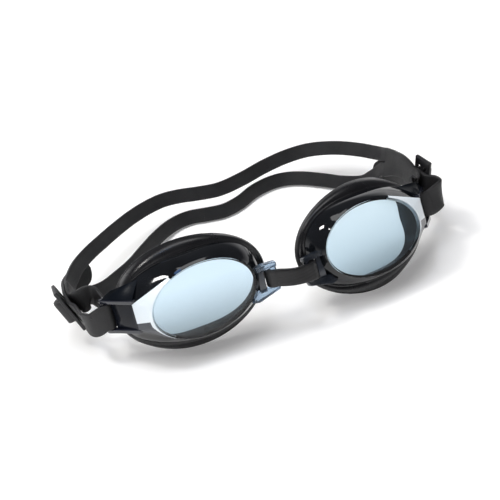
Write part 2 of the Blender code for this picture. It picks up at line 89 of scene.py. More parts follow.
BUCKLE_AT = {"right": Vector((-71.3, 27.0, 15.6)), "left": Vector((68.5, 24.9, 17.4))}
BUCKLE_DIR = {"right": Vector((0.25, 0.90, -0.28)), "left": Vector((-0.17, 0.98, -0.06))}
BUCKLE_UP = {"right": Vector((-0.43, 0.375, 0.835)), "left": Vector((0.05, 0.10, 0.99))}
BEHIND = {"right": [(-68.6, 32.8, 14.2)],
          "left": [(66.0, 42.5, 15.4), (66.4, 37.0, 18.4), (66.8, 31.0, 20.2)]}
BEHIND_UP = {"right": (-0.40, 0.40, 0.83), "left": (0.40, 0.10, 0.91)}
RISE = {"right": 0.0, "left": 1.6}
DROP = {"right": 1.2, "left": 0.0}
REAR_LEG = {"right": [(-67.9, 24.8, 18.0), (-65.2, 24.3, 17.7), (-63.7, 21.9, 16.8)],
            "left": [(65.6, 22.9, 17.4), (64.4, 20.9, 16.2)]}
FRONT_LEG = {"right": [(-70.2, 13.9, 15.4), (-71.7, 16.9, 15.4), (-72.0, 20.4, 16.0)],
             "left": [(70.4, 13.7, 17.9), (72.6, 15.6, 18.0), (72.2, 18.6, 17.9)]}
TAIL = {"right": [(-70.3, 32.7, 13.5), (-68.1, 37.9, 12.0), (-62.7, 43.0, 11.2), (-56.5, 47.6, 10.9)],
        "left": [(68.3, 31.6, 16.2), (68.5, 38.0, 12.4), (67.8, 44.5, 8.6), (65.9, 50.2, 5.9)]}
UPPER = [(-62.9, 43.2, 15.8), (-54.8, 49.8, 14.7), (-47.5, 54.4, 13.8), (-40.0, 59.0, 12.8), (-31.2, 63.7, 11.8),
         (-22.8, 67.0, 11.0), (-15.7, 68.4, 10.6), (-9.0, 68.0, 10.2), (-3.1, 66.7, 9.9), (6.0, 65.4, 9.4),
         (17.2, 67.4, 8.7), (28.4, 69.9, 8.8), (38.3, 70.1, 9.8), (47.0, 68.2, 11.0), (56.0, 63.4, 11.9),
         (63.0, 56.6, 12.9), (66.8, 51.6, 13.5)]
LOWER = [(-63.2, 34.0, 10.8), (-55.9, 36.2, 8.8), (-47.6, 41.0, 7.0), (-40.2, 45.4, 6.0), (-31.5, 52.2, 4.5),
         (-24.0, 57.6, 3.5), (-17.6, 61.2, 2.9), (-12.2, 63.0, 2.6), (-7.0, 63.3, 2.5), (-0.2, 61.7, 2.5),
         (5.8, 60.7, 2.5), (13.2, 62.0, 2.5), (21.8, 65.5, 2.5), (30.0, 66.8, 2.5), (35.7, 66.1, 2.5),
         (41.1, 63.6, 2.6), (47.4, 58.8, 2.7), (53.8, 52.8, 3.1), (60.0, 47.8, 4.6), (62.8, 46.0, 7.4)]
LEAN = {"upper": (44, 36, 38), "lower": (42, 34, 38)}


# ---------------------------------------------------------------- materials
def nodes_of(name):
    m = bpy.data.materials.new(name)
    m.use_nodes = True
    return m, m.node_tree.nodes, m.node_tree.links, m.node_tree.nodes["Principled BSDF"]


def surface(name, dark, light, rough, scale, bump, depth=0.00012, patch=60.0, fine=None,
            coat=0.0, coat_rough=0.1, spec=0.5, alpha=1.0, ior=1.5, sheen=0.0, trans=0.0, ribs=None):
    """Moulded surface: mottled colour, uneven gloss and a fine skin of bumps."""
    m, nodes, links, b = nodes_of(name)
    co = nodes.new("ShaderNodeTexCoord")
    big = nodes.new("ShaderNodeTexNoise")
    big.inputs["Scale"].default_value = patch
    big.inputs["Detail"].default_value = 5.0
    small = nodes.new("ShaderNodeTexNoise")
    small.inputs["Scale"].default_value = scale
    small.inputs["Detail"].default_value = 3.0
    links.new(co.outputs["Object"], big.inputs["Vector"])
    links.new(co.outputs["Object"], small.inputs["Vector"])
    ramp = nodes.new("ShaderNodeValToRGB")
    ramp.color_ramp.elements[0].position = 0.3
    ramp.color_ramp.elements[1].position = 0.72
    ramp.color_ramp.elements[0].color = (*dark, 1.0)
    ramp.color_ramp.elements[1].color = (*light, 1.0)
    links.new(big.outputs["Fac"], ramp.inputs["Fac"])
    links.new(ramp.outputs["Color"], b.inputs["Base Color"])
    rr = nodes.new("ShaderNodeMapRange")
    rr.inputs["From Min"].default_value = 0.3
    rr.inputs["From Max"].default_value = 0.7
    rr.inputs["To Min"].default_value = rough[0]
    rr.inputs["To Max"].default_value = rough[1]
    links.new((small if fine else big).outputs["Fac"], rr.inputs["Value"])
    links.new(rr.outputs["Result"], b.inputs["Roughness"])
    bp = nodes.new("ShaderNodeBump")
    bp.inputs["Strength"].default_value = bump
    bp.inputs["Distance"].default_value = depth
    height = small.outputs["Fac"]
    if ribs:
        wave = nodes.new("ShaderNodeTexWave")
        wave.bands_direction = 'Z'
        wave.inputs["Scale"].default_value = ribs
        wave.inputs["Distortion"].default_value = 0.4
        blend = nodes.new("ShaderNodeMath")
        blend.operation = 'MULTIPLY_ADD'
        blend.inputs[1].default_value = 0.25
        links.new(co.outputs["Object"], wave.inputs["Vector"])
        links.new(height, blend.inputs[0])
        links.new(wave.outputs["Fac"], blend.inputs[2])
        height = blend.outputs["Value"]
    links.new(height, bp.inputs["Height"])
    links.new(bp.outputs["Normal"], b.inputs["Normal"])
    b.inputs["Coat Weight"].default_value = coat
    b.inputs["Coat Roughness"].default_value = coat_rough
    b.inputs["Specular IOR Level"].default_value = spec
    b.inputs["Alpha"].default_value = alpha
    b.inputs["IOR"].default_value = ior
    b.inputs["Sheen Weight"].default_value = sheen
    b.inputs["Transmission Weight"].default_value = trans
    return m


def window(name, low, high, z_low, z_high):
    """Tinted clear window whose tint is painted darker towards its lower edge: painted shade for the shadowed table
    seen through it.
    """
    m, nodes, links, b = nodes_of(name)
    co = nodes.new("ShaderNodeTexCoord")
    part = nodes.new("ShaderNodeSeparateXYZ")
    # painted shade: the tint runs from the darker low colour at z_low up to the lighter high colour at z_high
    rise = nodes.new("ShaderNodeMapRange")
    rise.inputs["From Min"].default_value = z_low * MM
    rise.inputs["From Max"].default_value = z_high * MM
    noise = nodes.new("ShaderNodeTexNoise")
    noise.inputs["Scale"].default_value = 40.0
    sway = nodes.new("ShaderNodeMath")
    sway.operation = 'MULTIPLY_ADD'
    sway.inputs[1].default_value = 0.12
    ramp = nodes.new("ShaderNodeValToRGB")
    ramp.color_ramp.elements[0].color = (*low, 1.0)
    ramp.color_ramp.elements[1].color = (*high, 1.0)
    links.new(co.outputs["Object"], part.inputs["Vector"])
    links.new(co.outputs["Object"], noise.inputs["Vector"])
    links.new(part.outputs["Z"], rise.inputs["Value"])
    links.new(noise.outputs["Fac"], sway.inputs[0])
    links.new(rise.outputs["Result"], sway.inputs[2])
    links.new(sway.outputs["Value"], ramp.inputs["Fac"])
    links.new(ramp.outputs["Color"], b.inputs["Base Color"])
    b.inputs["Roughness"].default_value = 0.0
    b.inputs["IOR"].default_value = 1.5
    b.inputs["Transmission Weight"].default_value = 1.0
    return m


# one lens tint in two copies, one lit and one shaded: each side's colours and its darker lower end are painted shade
# for the light seen through that window
M_WINDOW = {"right": window("window_painted_shade_r", (0.33, 0.43, 0.495), (0.65, 0.81, 0.915), 12.5, 30.0),
            "left": window("window_painted_shade_l", (0.45, 0.60, 0.70), (0.65, 0.80, 0.885), 12.0, 31.0)}
M_CLEAR = surface("clear_facet", (0.83, 0.92, 0.98), (0.91, 0.97, 1.0), (0.05, 0.09), 700.0, 0.02,
                  patch=70.0, alpha=0.88, ior=1.58, spec=0.7)
M_FACET = surface("smoke_facet", (0.022, 0.026, 0.034), (0.042, 0.048, 0.060), (0.05, 0.10), 700.0, 0.02,
                  patch=70.0, ior=1.58, coat=0.3, coat_rough=0.05)
M_INNER = surface("smoke_wall", (0.10, 0.125, 0.155), (0.17, 0.205, 0.245), (0.12, 0.2), 600.0, 0.05,
                  patch=60.0, ior=1.58)
M_SHOULDER = surface("shoulder_black", (0.0025, 0.003, 0.004), (0.006, 0.007, 0.0088), (0.04, 0.08), 500.0, 0.03,
                     patch=90.0, coat=0.2, coat_rough=0.03, ior=1.5, spec=0.42)
M_LUG = surface("lug_smoke", (0.006, 0.007, 0.012), (0.018, 0.021, 0.032), (0.06, 0.12), 700.0, 0.04,
                patch=120.0, coat=0.5, coat_rough=0.04, ior=1.58)
# the same clear lug on both sides; the left copy is painted nearly black, painted shade for the darkness seen through
# it on that side
M_NOSE_LUG = {"right": surface("lug_clear_r", (0.30, 0.42, 0.56), (0.46, 0.59, 0.74), (0.03, 0.08), 700.0, 0.02,
                               patch=150.0, ior=1.45, trans=0.85),
              "left": surface("lug_clear_painted_shade_l", (0.010, 0.013, 0.019), (0.026, 0.032, 0.043), (0.04, 0.09), 700.0, 0.02,
                              patch=150.0, ior=1.45, trans=0.35)}
M_SIDE = surface("side_smoke", (0.003, 0.004, 0.007), (0.009, 0.011, 0.018), (0.2, 0.3), 600.0, 0.05,
                 patch=90.0, spec=0.25)
M_WING = surface("wing_smoke", (0.003, 0.004, 0.006), (0.007, 0.009, 0.013), (0.2, 0.3), 600.0, 0.03,
                 patch=90.0, spec=0.05)
M_GASKET = surface("gasket_rubber", (0.004, 0.004, 0.005), (0.008, 0.008, 0.009), (0.25, 0.31), 900.0, 0.05,
                   depth=0.00001, patch=110.0)
M_STRAP = surface("strap_rubber", (0.011, 0.0108, 0.0115), (0.019, 0.0186, 0.0195), (0.46, 0.60), 2200.0, 0.16,
                  depth=0.00008, patch=140.0, fine=True)
M_BRIDGE = surface("bridge_rubber", (0.007, 0.0068, 0.0073), (0.012, 0.0117, 0.0123), (0.40, 0.52), 2200.0, 0.35,
                   depth=0.00008, patch=160.0, ribs=330.0)
M_BUCKLE = surface("buckle_plastic", (0.007, 0.007, 0.008), (0.014, 0.014, 0.016), (0.28, 0.40), 1500.0, 0.10,
                   depth=0.00006, patch=180.0, fine=True)


# ---------------------------------------------------------------- mesh helpers
def finish_mesh(name, bm, mats, angle=35.0):
    bmesh.ops.recalc_face_normals(bm, faces=bm.faces)
    me = bpy.data.meshes.new(name)
    bm.to_mesh(me)
    bm.free()
    for m in mats:
        me.materials.append(m)
    me.shade_smooth()
    me.set_sharp_from_angle(angle=radians(angle))
    ob = bpy.data.objects.new(name, me)
    bpy.context.scene.collection.objects.link(ob)
    return ob


def place(p):
    return (Vector(p) - ORIGIN) * MM


def skin(bm, rings, closed_rows=False, caps=True, mat=None):
    """Faces between equal rings; mat(row, column) gives the material index."""
    vs = [[bm.verts.new(place(p)) for p in ring] for ring in rings]
    n = len(vs[0])
    rows = list(zip(vs, vs[1:])) + ([(vs[-1], vs[0])] if closed_rows else [])
    for r, (a, b) in enumerate(rows):
        for i in range(n):
            j = (i + 1) % n
            f = bm.faces.new((a[i], a[j], b[j], b[i]))
            if mat:
                f.material_index = mat(r, i)
    if caps and not closed_rows:
        bm.faces.new(vs[0][::-1])
        bm.faces.new(vs[-1])
    return vs


def catmull(pts, per=6):
    pts = [Vector(p) for p in pts]
    ext = [2 * pts[0] - pts[1]] + pts + [2 * pts[-1] - pts[-2]]
    out = []
    for i in range(1, len(ext) - 2):
        p0, p1, p2, p3 = ext[i - 1:i + 3]
        t0 = 0.0
        t1 = t0 + (p1 - p0).length ** 0.5
        t2 = t1 + (p2 - p1).length ** 0.5
        t3 = t2 + (p3 - p2).length ** 0.5
        for k in range(per):
            t = t1 + (t2 - t1) * k / per
            a1 = p0 * ((t1 - t) / (t1 - t0)) + p1 * ((t - t0) / (t1 - t0))
            a2 = p1 * ((t2 - t) / (t2 - t1)) + p2 * ((t - t1) / (t2 - t1))
            a3 = p2 * ((t3 - t) / (t3 - t2)) + p3 * ((t - t2) / (t3 - t2))
            b1 = a1 * ((t2 - t) / (t2 - t0)) + a2 * ((t - t0) / (t2 - t0))
            b2 = a2 * ((t3 - t) / (t3 - t1)) + a3 * ((t - t1) / (t3 - t1))
            out.append(b1 * ((t2 - t) / (t2 - t1)) + b2 * ((t - t1) / (t2 - t1)))
    out.append(pts[-1])
    return out


def tangents(path):
    out = []
    for i in range(len(path)):
        a, b = path[max(i - 1, 0)], path[min(i + 1, len(path) - 1)]
        out.append((b - a).normalized())
    return out


def mix(values, f):
    x = f * (len(values) - 1)
    i = min(int(x), len(values) - 2)
    return Vector(values[i]).lerp(Vector(values[i + 1]), x - i)


def strip_rings(path, wide, width, thick, round_r=0.45, crown=0.0):
    """Rings of a flat strip with rounded edges and a slightly crowned face."""
    rings = []
    for k, (p, t, w) in enumerate(zip(path, tangents(path), wide)):
        w = (w - t * w.dot(t)).normalized()
        n = t.cross(w)
        hw = (width[k] if isinstance(width, list) else width) / 2
        ht = (thick[k] if isinstance(thick, list) else thick) / 2
        r = min(round_r, ht * 0.92, hw * 0.9)
        sec = []
        for cx, cy, a0 in ((hw - r, ht - r, 0), (-hw + r, ht - r, 90), (-hw + r, -ht + r, 180), (hw - r, -ht + r, 270)):
            for j in range(4):
                a = radians(a0 + 30 * j)
                sec.append((cx + r * cos(a), cy + r * sin(a)))
            if a0 in (0, 180) and hw > 1.0:
                s = 1 if a0 == 0 else -1
                for f in (0.6, 0.2, -0.2, -0.6):
                    sec.append((s * (hw - r) * f, s * (ht + crown * (1 - f * f))))
        rings.append([p + w * a + n * b for a, b in sec])
    return rings


def strip(bm, path, wide, width, thick, round_r=0.45, crown=0.0):
    skin(bm, strip_rings(path, wide, width, thick, round_r, crown))


# ---------------------------------------------------------------- cup frames
class Cup:
    def __init__(self, side):
        s = SIDE[side]
        w, t, r = (radians(d[side]) for d in (CUP_WRAP, CUP_TILT, CUP_ROLL))
        n = Vector((sin(w) * cos(t), -cos(w) * cos(t), sin(t)))
        h = Vector((cos(w), sin(w), 0.0))
        v = h.cross(n)
        if v.z < 0:
            v.negate()
        u, v = h * cos(r) + v * sin(r), v * cos(r) - h * sin(r)
        for a in (u, v, n):
            a.x *= s
        self.side, self.s = side, s
        self.u, self.v, self.n = u, v, n
        self.o = Vector((s * LENS_SPACING / 2, 0.0, CUP_Z[side]))

    def at(self, u, v, w):
        return self.o + self.u * u + self.v * v + self.n * w


CUP = {k: Cup(k) for k in SIDE}


def tangent_param(px, py, a, b, sign):
    return atan2(py / b, px / a) + sign * acos(1 / hypot(px / a, py / b))


T_TOP = tangent_param(EDGE_U, EDGE_TOP, BREAK_A, BREAK_B, 1)
T_LOW = tangent_param(EDGE_U, EDGE_LOW, BREAK_A, BREAK_B, -1)
N_LINE, N_ARC, N_EDGE = 20, 168, 12


def outline():
    """(window parameter, break-line point, zone) all round from the temple's upper corner."""
    rows = []
    tp = (BREAK_A * cos(T_TOP), BREAK_B * sin(T_TOP), BREAK_W)
    lp = (BREAK_A * cos(T_LOW), BREAK_B * sin(T_LOW), BREAK_W)
    top, low = (EDGE_U, EDGE_TOP, EDGE_W), (EDGE_U, EDGE_LOW, EDGE_W)
    t_top, t_low = atan2(EDGE_TOP / BREAK_B, EDGE_U / BREAK_A), atan2(EDGE_LOW / BREAK_B, EDGE_U / BREAK_A)
    for k in range(N_LINE):
        f = k / N_LINE
        rows.append((t_top + (T_TOP - t_top) * f, tuple(a + (b - a) * f for a, b in zip(top, tp)), "top"))
    span = 2 * pi + T_LOW - T_TOP
    for k in range(N_ARC):
        t = T_TOP + span * k / N_ARC
        rows.append((t, (BREAK_A * cos(t), BREAK_B * sin(t), BREAK_W), "arc"))
    for k in range(N_LINE):
        f = k / N_LINE
        rows.append((T_LOW + 2 * pi + (t_low - T_LOW) * f, tuple(a + (b - a) * f for a, b in zip(lp, low)), "low"))
    for k in range(N_EDGE):
        f = k / N_EDGE
        rows.append((t_low + 2 * pi + (t_top - t_low) * f, tuple(a + (b - a) * f for a, b in zip(low, top)), "edge"))
    return rows


def seam_radius(theta):
    c, s = cos(theta), sin(theta)
    a = SEAM_T if c > 0 else SEAM_N
    return (abs(c / a) ** SEAM_P + abs(s / SEAM_B) ** SEAM_P) ** (-1 / SEAM_P)


def seam_depth(u):
    q = u / 30
    return -(7.5 + 2.2 * q + 2.6 * q * q)


def flange(t):
    u = FL_U + FL_A * cos(t)
    v = FL_V + FL_B * sin(t) * (1 + FL_EGG * cos(t))
    return u, v, -(FL_D + FL_DU * u / 30 + FL_DUU * (u / 30) ** 2 + FL_DV * v / 20)


# ---------------------------------------------------------------- eye cup
def lens_cup(c):
    rows = outline()

    def seam(p, inset):
        th = atan2(p[1], p[0])
        r = seam_radius(th)
        u, v = r * cos(th), r * sin(th)
        k = 1 - inset / r
        return Vector((u * k, v * k, seam_depth(u)))

    def inside(p):
        k = 1 - 1.05 / hypot(p[0], p[1])
        return Vector((p[0] * k, p[1] * k, p[2] - 1.25))

    def oval(t, inset, w):
        return Vector(((LENS_A - inset) * cos(t), (LENS_B - inset) * sin(t), w))

    def wall(p, f):
        """Outer shoulder from the break line back to the seam, a little crowned."""
        a, b = Vector(p), seam(p, 0.0)
        q = a.lerp(b, f)
        d = Vector((q.x, q.y, 0)).normalized()
        return q + (d * 0.8 + Vector((0, 0, 0.6))) * (0.45 * sin(pi * f))

    def ring(fn):
        return [c.at(*fn(t, p)) for t, p, _ in rows]

    # inside of the window, out along its rear face, back along the wall, round
    # the seam, forward over the shoulder, over the rim and in on the front face
    spec = [(lambda t, p, q=q: oval(t, 0.85 + q, -LENS_T), "win") for q in (9.0, 5.0, 2.0, 0.6, 0.0)]
    spec += [(lambda t, p: inside(p), "wall_in")]
    spec += [(lambda t, p, f=f: inside(p).lerp(seam(p, SKIN), f), "wall_in") for f in (0.25, 0.5, 0.75, 0.97)]
    spec += [(lambda t, p: seam(p, SKIN - 0.15), "seam"), (lambda t, p: seam(p, 0.15), "seam")]
    spec += [(lambda t, p, f=f: wall(p, f), "wall") for f in (0.98, 0.9, 0.78, 0.64, 0.5, 0.36, 0.22, 0.1, 0.03)]
    spec += [(lambda t, p: Vector(p), "rim")]
    spec += [(lambda t, p, f=f: Vector(p).lerp(oval(t, 0.0, -0.12), f), "rim") for f in (0.12, 0.5, 0.8, 1.0)]
    spec += [(lambda t, p: oval(t, 0.14, 0.0), "face")]
    spec += [(lambda t, p, q=q: oval(t, q, 0.0), "face") for q in (0.5, 2.0, 5.0, 9.0)]
    rings = [ring(fn) for fn, _ in spec]
    kinds = [k for _, k in spec]

    first_wall = kinds.index("wall_in")

    def mat(r, i):
        a, b = kinds[r], kinds[r + 1]
        t, p, zone = rows[i]
        temple = zone != "arc" or cos(t) > 0.62 and sin(t) > 0
        if a == b == "win" or "face" in (a, b):
            return 0
        if a == "win":
            return 1 if temple else 2
        if a == b == "wall_in":
            return 3 if temple and r < first_wall + 3 else 2
        if a == b == "rim":
            # on the lower facet and the lower temple edge, the rim ring next to the window is the near-white clear
            # material, partly the clear edge of the shell and partly a painted highlight line; the rest of that rim is
            # dark smoke
            if zone == "low" or zone == "edge" and p[1] < -1.0:
                return 1 if r == len(kinds) - 7 else 5
            return 1 if temple else 2
        return 4 if zone == "edge" else 2

    bm = bmesh.new()
    vs = skin(bm, rings, caps=False, mat=mat)
    for ends in (vs[0][::-1], vs[-1]):
        f = bm.faces.new(ends)
        f.material_index = 0
    ob = finish_mesh(c.side + "_cup_shell", bm, [M_WINDOW[c.side], M_CLEAR, M_SHOULDER, M_INNER, M_SIDE, M_FACET], 32)
    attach(ob, c.side + "_cup")
    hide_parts(c.side + "_lens_cup")
    return ob


def post(bm, a, b, r, seg=28):
    a, b = Vector(a), Vector(b)
    d = (b - a).normalized()
    x = d.orthogonal().normalized()
    y = d.cross(x)
    rings = []
    for f, k in ((0.0, 0.75), (0.03, 0.95), (0.07, 1.0), (0.5, 0.98), (0.93, 1.0), (0.97, 0.95), (1.0, 0.75)):
        p = a.lerp(b, f)
        rings.append([p + (x * cos(2 * pi * i / seg) + y * sin(2 * pi * i / seg)) * r * k for i in range(seg)])
    skin(bm, rings)


def plate(bm, outline, low, high, at):
    """Flat moulded plate with softened edges; at(x, y, h) places a point."""
    n = len(outline)
    cx, cy = sum(p[0] for p in outline) / n, sum(p[1] for p in outline) / n
    fine = []
    for i in range(n):
        a, b = outline[i], outline[(i + 1) % n]
        for f in (0.06, 0.35, 0.65, 0.94):
            fine.append((a[0] + (b[0] - a[0]) * f, a[1] + (b[1] - a[1]) * f))
    rings = []
    for h, k in ((low, 0.25), (low + 0.1, 0.07), (low + 0.3, 0.0), (high - 0.3, 0.0), (high - 0.1, 0.07), (high, 0.25)):
        ring = []
        for x, y in fine:
            d = hypot(x - cx, y - cy)
            m = 1 - k / d
            ring.append(at(cx + (x - cx) * m, cy + (y - cy) * m, h))
        rings.append(ring)
    skin(bm, rings)


def lugs(c):
    # temple lug: two plates that leave the shoulder and carry the post
    def flat(u, w, v):
        return c.at(u, v, w)

    tip = Vector((POST_U - EDGE_U, POST_W - EDGE_W))
    reach = tip.length
    tip.normalize()

    def beside(s, v, h):
        return c.at(EDGE_U - 0.1 + tip.x * s + tip.y * h, v, EDGE_W + tip.y * s - tip.x * h)

    shape = [(23.0, -4.2), (24.6, -3.7), (POST_U + 1.1, POST_W + 0.9), (POST_U + 1.0, POST_W - 1.1),
             (POST_U - 0.6, POST_W - 1.5), (28.9, -11.9), (26.0, -10.6), (25.0, -10.2), (23.8, -7.5)]
    bm = bmesh.new()
    plate(bm, shape, EDGE_TOP + 0.02, EDGE_TOP + ARM_T, flat)
    plate(bm, shape, EDGE_LOW - ARM_T, EDGE_LOW - 0.02, flat)
    post(bm, c.at(POST_U, EDGE_LOW - 0.2, POST_W), c.at(POST_U, EDGE_TOP + 0.2, POST_W), POST_R)
    n_lug = len(bm.faces)
    # wall on the inner side of the slot
    plate(bm, [(0.1, EDGE_LOW - 0.2), (reach - 3.45, EDGE_LOW - 0.2), (reach - 3.45, EDGE_TOP + 0.2),
               (0.1, EDGE_TOP + 0.2)], 0.0, 0.62, beside)
    n_wall = len(bm.faces)
    # wing that carries the shoulder out over the upper arm
    p1, p2 = Vector((24.4, EDGE_TOP + 1.2, -3.9)), Vector((POST_U + 0.5, EDGE_TOP + 1.4, POST_W + 0.7))
    p3, p4 = Vector((28.7, 11.2, -11.1)), Vector((18.9, 12.3, -8.9))
    under = -(p2 - p1).cross(p4 - p1).normalized() * 0.75
    if under.z > 0:
        under = -under
    rings = []
    for k in range(13):
        s = k / 12
        a, b = p1.lerp(p2, s), p4.lerp(p3, s)
        top = [a.lerp(b, f) - under * (0.2 * sin(pi * f)) for f in (0.0, 0.04, 0.25, 0.5, 0.75, 0.96, 1.0)]
        low = [q + under for q in top[-2:0:-1]]
        rings.append([c.at(*q) for q in top + low])
    skin(bm, rings)
    bm.faces.ensure_lookup_table()
    for f in bm.faces[n_lug:n_wall]:
        f.material_index = 1
    for f in bm.faces[n_wall:]:
        f.material_index = 2
    ob = finish_mesh(c.side + "_temple_lug", bm, [M_LUG, M_SIDE, M_WING])
    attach(ob, c.side + "_cup")

    # nasal lug: clear frame round the slot, with a web down the shoulder
    def upright(u, v, w):
        return c.at(u, v, w)

    e = NOSE_U - 1.3
    bm = bmesh.new()
    plate(bm, [(-20.6, 2.4), (-24.2, 2.5), (e, NOSE_TOP + 1.5), (e, NOSE_TOP), (-20.6, NOSE_TOP)],
          NOSE_W - 1.5, NOSE_W + 1.1, upright)
    plate(bm, [(-19.5, NOSE_LOW), (e, NOSE_LOW), (e + 0.4, NOSE_LOW - 1.5), (-19.6, -10.6), (-17.0, -10.0)],
          NOSE_W - 1.9, NOSE_W + 0.8, upright)
    n_arms = len(bm.faces)
    plate(bm, [(-20.9, NOSE_TOP + 0.8), (-23.6, NOSE_TOP + 0.8), (-23.6, NOSE_LOW - 0.8), (-20.9, NOSE_LOW - 0.8)],
          NOSE_W - 2.4, NOSE_W + 0.2, upright)
    n_web = len(bm.faces)
    post(bm, c.at(NOSE_U, NOSE_LOW - 0.3, NOSE_W), c.at(NOSE_U, NOSE_TOP + 0.3, NOSE_W), NOSE_R)
    bm.faces.ensure_lookup_table()
    for f in bm.faces[n_arms:n_web]:
        f.material_index = 1
    ob = finish_mesh(c.side + "_nose_lug", bm, [M_NOSE_LUG[c.side], M_FACET])
    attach(ob, c.side + "_cup")


# ---------------------------------------------------------------- gasket
def gasket(c, n_ring=192):
    columns = []
    for k in range(n_ring):
        t = 2 * pi * k / n_ring
        fu, fv, fw = flange(t)
        th, rf = atan2(fv, fu), hypot(fu, fv)
        rs = seam_radius(th)
        ws = seam_depth(rs * cos(th)) - GAP
        dw = ws - fw
        dr = rf - rs
        lip = 5.2 * max(0.0, cos(th)) ** 9      # the inner lip is broad at the temple
        section = [
            (rs - WALL - 0.2, ws), (rs - 0.6, ws + 0.05), (rs + 0.25, ws), (rs + 0.55, ws - 0.3),
            (rs + 0.25 * dr + 0.6, ws - 0.12 * dw),
            (rs + 0.55 * dr + 0.7, ws - 0.35 * dw), (rs + 0.85 * dr + 0.2, ws - 0.68 * dw),
            (rf - 0.15, fw + 0.5), (rf, fw), (rf - 0.35, fw - 0.5), (rf - 0.9, fw - 0.7),
            (rs + 0.75 * dr - 0.4, ws - 0.62 * dw - GASKET_T * 0.95),
            (rs + 0.45 * dr - 0.3, ws - 0.35 * dw - GASKET_T),
            (rs - 0.9 - lip * 0.6, ws - 2.6), (rs - WALL - 0.2 - lip, ws - 2.6), (rs - WALL - 0.45 - lip, ws - 2.1),
            (rs - WALL - 0.3 - lip * 0.4, ws - 0.9),
        ]
        m = len(section)
        fine = []
        for i in range(m):
            p0, p1, p2, p3 = (Vector(section[(i + d) % m]) for d in (-1, 0, 1, 2))
            for s in (0.0, 0.5):
                fine.append(0.5 * (2 * p1 + (p2 - p0) * s + (2 * p0 - 5 * p1 + 4 * p2 - p3) * s * s
                                   + (3 * p1 - p0 - 3 * p2 + p3) * s ** 3))
        columns.append([c.at(q.x * cos(th), q.x * sin(th), q.y) for q in fine])
    bm = bmesh.new()
    skin(bm, columns, closed_rows=True)
    ob = finish_mesh(c.side + "_gasket_skirt", bm, [M_GASKET], 50)
    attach(ob, c.side + "_cup")
    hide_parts(c.side + "_gasket")
    return ob


# ---------------------------------------------------------------- strap
def buckle_frame(side):
    t = BUCKLE_DIR[side].normalized()
    w = BUCKLE_UP[side]
    w = (w - t * w.dot(t)).normalized()
    out = w.cross(t)
    if out.x * SIDE[side] < 0:
        out.negate()
    return t, w, out


def strap_end(c, bm):
    side = c.side
    t, w, out = buckle_frame(side)
    m = BUCKLE_AT[side]
    mid_v = (EDGE_TOP + EDGE_LOW) / 2
    pin = c.at(POST_U, mid_v, POST_W)
    inner = m - out * LAYER
    outer = m + out * LAYER
    route = [(Vector(p), Vector(BEHIND_UP[side]).lerp(w, (0.0, 0.4, 0.9)[k])) for k, p in enumerate(BEHIND[side])]
    lift = w * RISE[side]
    route += [(inner + t * 2.6 + lift, w), (inner - t * 0.2 + lift * 0.6, w), (inner - t * 1.5 - out * 1.0, w)]
    n = len(REAR_LEG[side])
    route += [(Vector(p), w.lerp(c.v, 0.6 * (k + 1) / n)) for k, p in enumerate(REAR_LEG[side])]
    route.append((c.at(POST_U - 1.7, mid_v + 0.3, POST_W - 3.2), c.v.lerp(w, 0.15)))
    r = POST_R + GAP + STRAP_T / 2 + 0.3
    for k in range(5):
        a = radians(205 - 125 * k / 4)
        route.append((pin + c.u * (r * cos(a)) + c.n * (r * sin(a)), c.v))
    route.append((c.at(POST_U + 1.9, mid_v, POST_W + 2.3), c.v))
    n = len(FRONT_LEG[side])
    route += [(Vector(p), c.v.lerp(w, (k + 0.6) / n)) for k, p in enumerate(FRONT_LEG[side])]
    drop = w * DROP[side]
    route += [(outer - t * 3.8 - out * 0.2 - drop, w), (outer - drop * 0.5, w), (outer + t * 3.6, w)]
    route += [(Vector(p), w) for p in TAIL[side]]
    path = catmull([p for p, _ in route], 8)
    ups = [u for _, u in route]
    wide = [mix(ups, i / (len(path) - 1)) for i in range(len(path))]
    widths = []
    run = 0.0
    for i in range(len(path)):
        run += (path[i] - path[i - 1]).length if i else 0.0
        widths.append(STRAP_W + (LOOP_W - STRAP_W) * min(run / 7.0, 1.0))
    total = 0.0
    for i in range(len(path) - 1, 0, -1):
        if total < LOOP_W / 2:
            f = 1 - total / (LOOP_W / 2)
            widths[i] = max(LOOP_W * (1 - f * f) ** 0.5, LOOP_W * 0.25)
        total += (path[i] - path[i - 1]).length
    if side == "right":
        # the rear leg is drawn up a little and leaves the loop open below it
        for i in range(len(path)):
            q = i / 8
            if 3.2 < q < 6.8:
                k = sin(pi * (q - 3.2) / 3.6)
                widths[i] -= 1.8 * k
                path[i] = path[i] + wide[i].normalized() * (0.9 * k)
    strip(bm, path, wide, widths, STRAP_T, 0.35)
    # direction at the slit, measured over the same stretch as the solids
    coarse = catmull([p for p, _ in route], 4)
    tan = tangents(coarse)
    w0 = ups[0] - tan[0] * ups[0].dot(tan[0])
    return coarse[0], -tan[0], w0.normalized()


def band_path(which, route, ends):
    (pr, tr, wr), (pl, tl, wl) = ends
    shift = (BAND_W + SLIT) / 2 * (1 if which == "upper" else -1)
    a = pr + wr * shift + tr * 0.02
    b = pl + wl * shift + tl * 0.02
    pts = [a, a + tr * 2.3] + [Vector(p) for p in route] + [b + tl * 2.3, b]
    path = catmull(pts, 8)
    wide = []
    n = len(path) - 1
    l0, l1, l2 = LEAN[which]
    for i, t in enumerate(tangents(path)):
        f = i / n
        lean = radians(l0 + (l1 - l0) * min(f * 2, 1) + (l2 - l1) * max(f * 2 - 1, 0))
        o = Vector((-t.y, t.x, 0.0)).normalized()
        if o.dot(path[i] - Vector((0.0, 30.0, path[i].z))) < 0:
            o.negate()
        w = Vector((0, 0, 1)) * cos(lean) + o * sin(lean)
        k = min(f / 0.12, (1 - f) / 0.12, 1.0)
        k = k * k * (3 - 2 * k)
        wide.append((wr if f < 0.5 else wl).lerp(w, k))
    return path, wide


def half(path, wide, first):
    """One side of a band, cut at the middle of the back."""
    m = min(range(len(path)), key=lambda i: abs(path[i].x + 2.0))
    return (path[:m + 1], wide[:m + 1]) if first else (path[m:], wide[m:])


